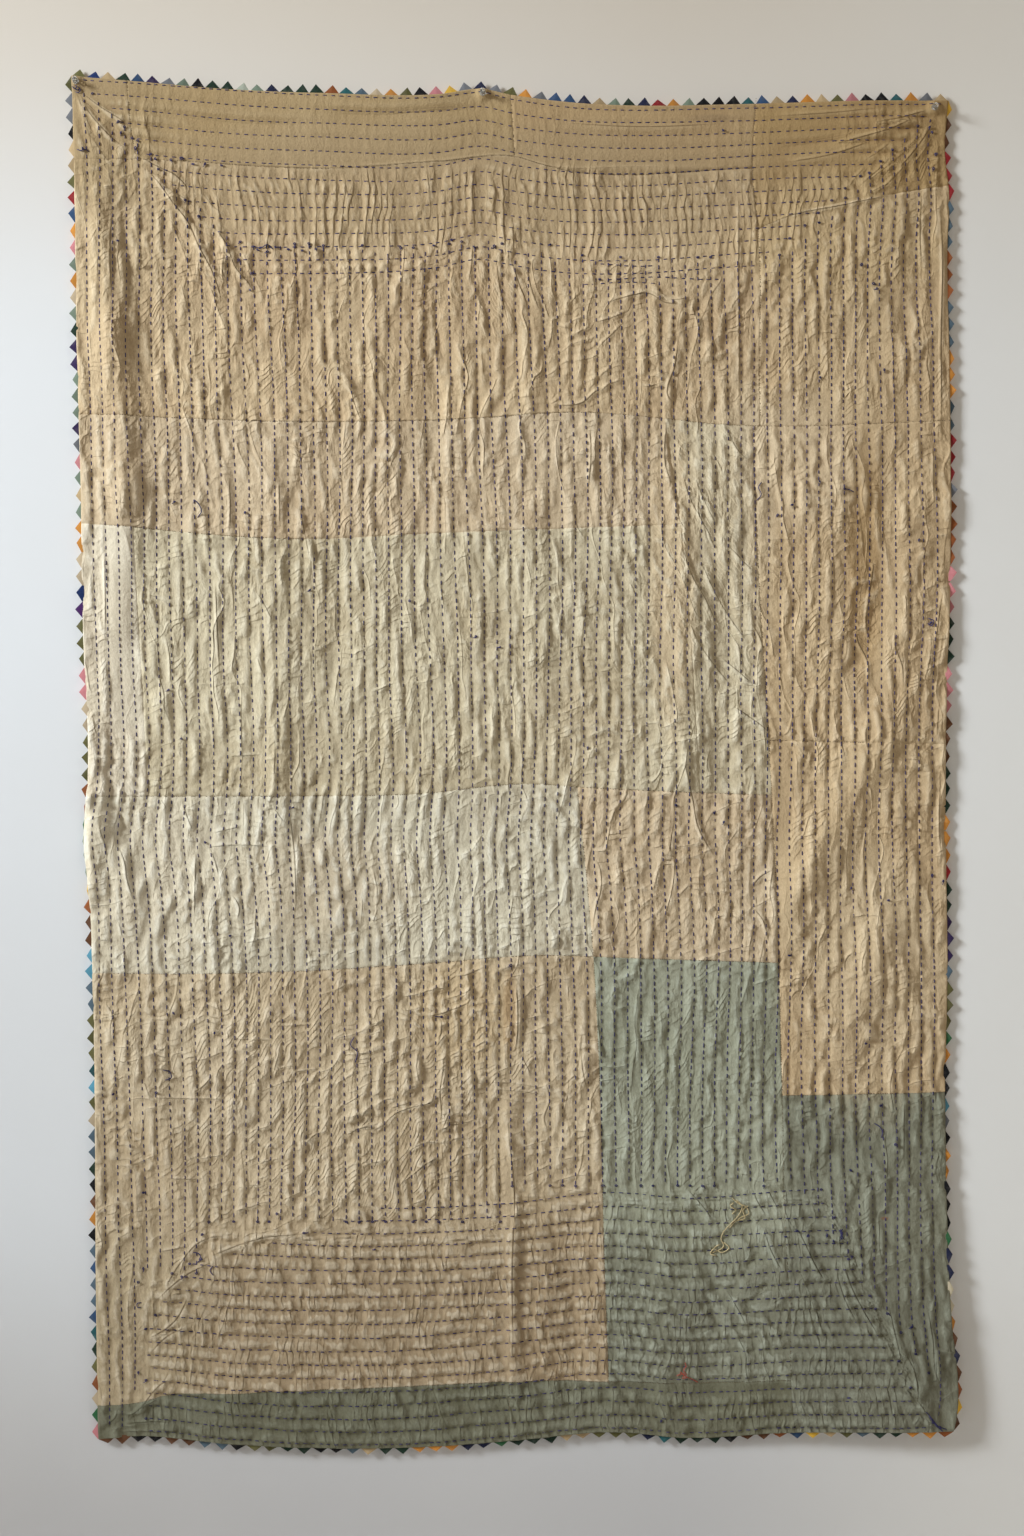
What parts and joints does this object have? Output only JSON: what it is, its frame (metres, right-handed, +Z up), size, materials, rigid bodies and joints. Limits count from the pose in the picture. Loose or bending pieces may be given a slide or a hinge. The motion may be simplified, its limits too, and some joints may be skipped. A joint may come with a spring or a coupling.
{
  "type": "ralli quilt with push pins",
  "caption": "Hand-stitched ralli quilt hanging flat on push pins, its plain pieced reverse to the room, with a border of small folded cloth triangles.",
  "frame": {"origin": "middle of the quilt's top edge, on the face of the wall it hangs on", "axes": "+X to the right as the quilt is seen hanging, +Y into the wall, +Z up"},
  "size_m": [1.4199, 0.0301, 2.1909],
  "materials": {
    "tan_cotton": "soft, worn, matt",
    "cream_cotton": "soft, worn, matt",
    "sage_cotton": "soft, worn, matt",
    "pink_tan_cotton": "soft, worn, matt",
    "green_cotton": "soft, worn, matt",
    "front_cotton": "soft, worn, matt",
    "edging_cotton": "soft, worn, matt, many colours",
    "thread": "matt cotton thread",
    "clear_plastic": "clear, glossy",
    "pin_steel": "smooth"
  },
  "bodies": {
    "root": {"front_cloth": "front_cotton", "back_top_corner": "tan_cotton", "back_top_strip_left": "tan_cotton", "back_top_strip_middle": "tan_cotton", "back_top_strip_right": "tan_cotton", "back_field": "tan_cotton", "back_field_right": "tan_cotton", "back_band": "pink_tan_cotton", "back_sage_tall": "sage_cotton", "back_left_strip": "cream_cotton", "back_sage_upper": "sage_cotton", "back_sage_lower": "sage_cotton", "back_pink": "pink_tan_cotton", "back_right_upper": "tan_cotton", "back_right_lower": "tan_cotton", "back_right_scrap": "tan_cotton", "back_right_strip": "tan_cotton", "back_lower_left": "cream_cotton", "back_green_left": "green_cotton", "back_green_right": "green_cotton", "back_hem_left": "green_cotton", "back_hem_right": "green_cotton", "edging_top": "edging_cotton", "edging_right": "edging_cotton", "edging_bottom": "edging_cotton", "edging_left": "edging_cotton", "pin_grip_left": "clear_plastic", "pin_grip_middle": "clear_plastic", "pin_grip_right": "clear_plastic", "pin_needle_left": "pin_steel", "pin_needle_middle": "pin_steel", "pin_needle_right": "pin_steel"}
  },
  "joints": []
}
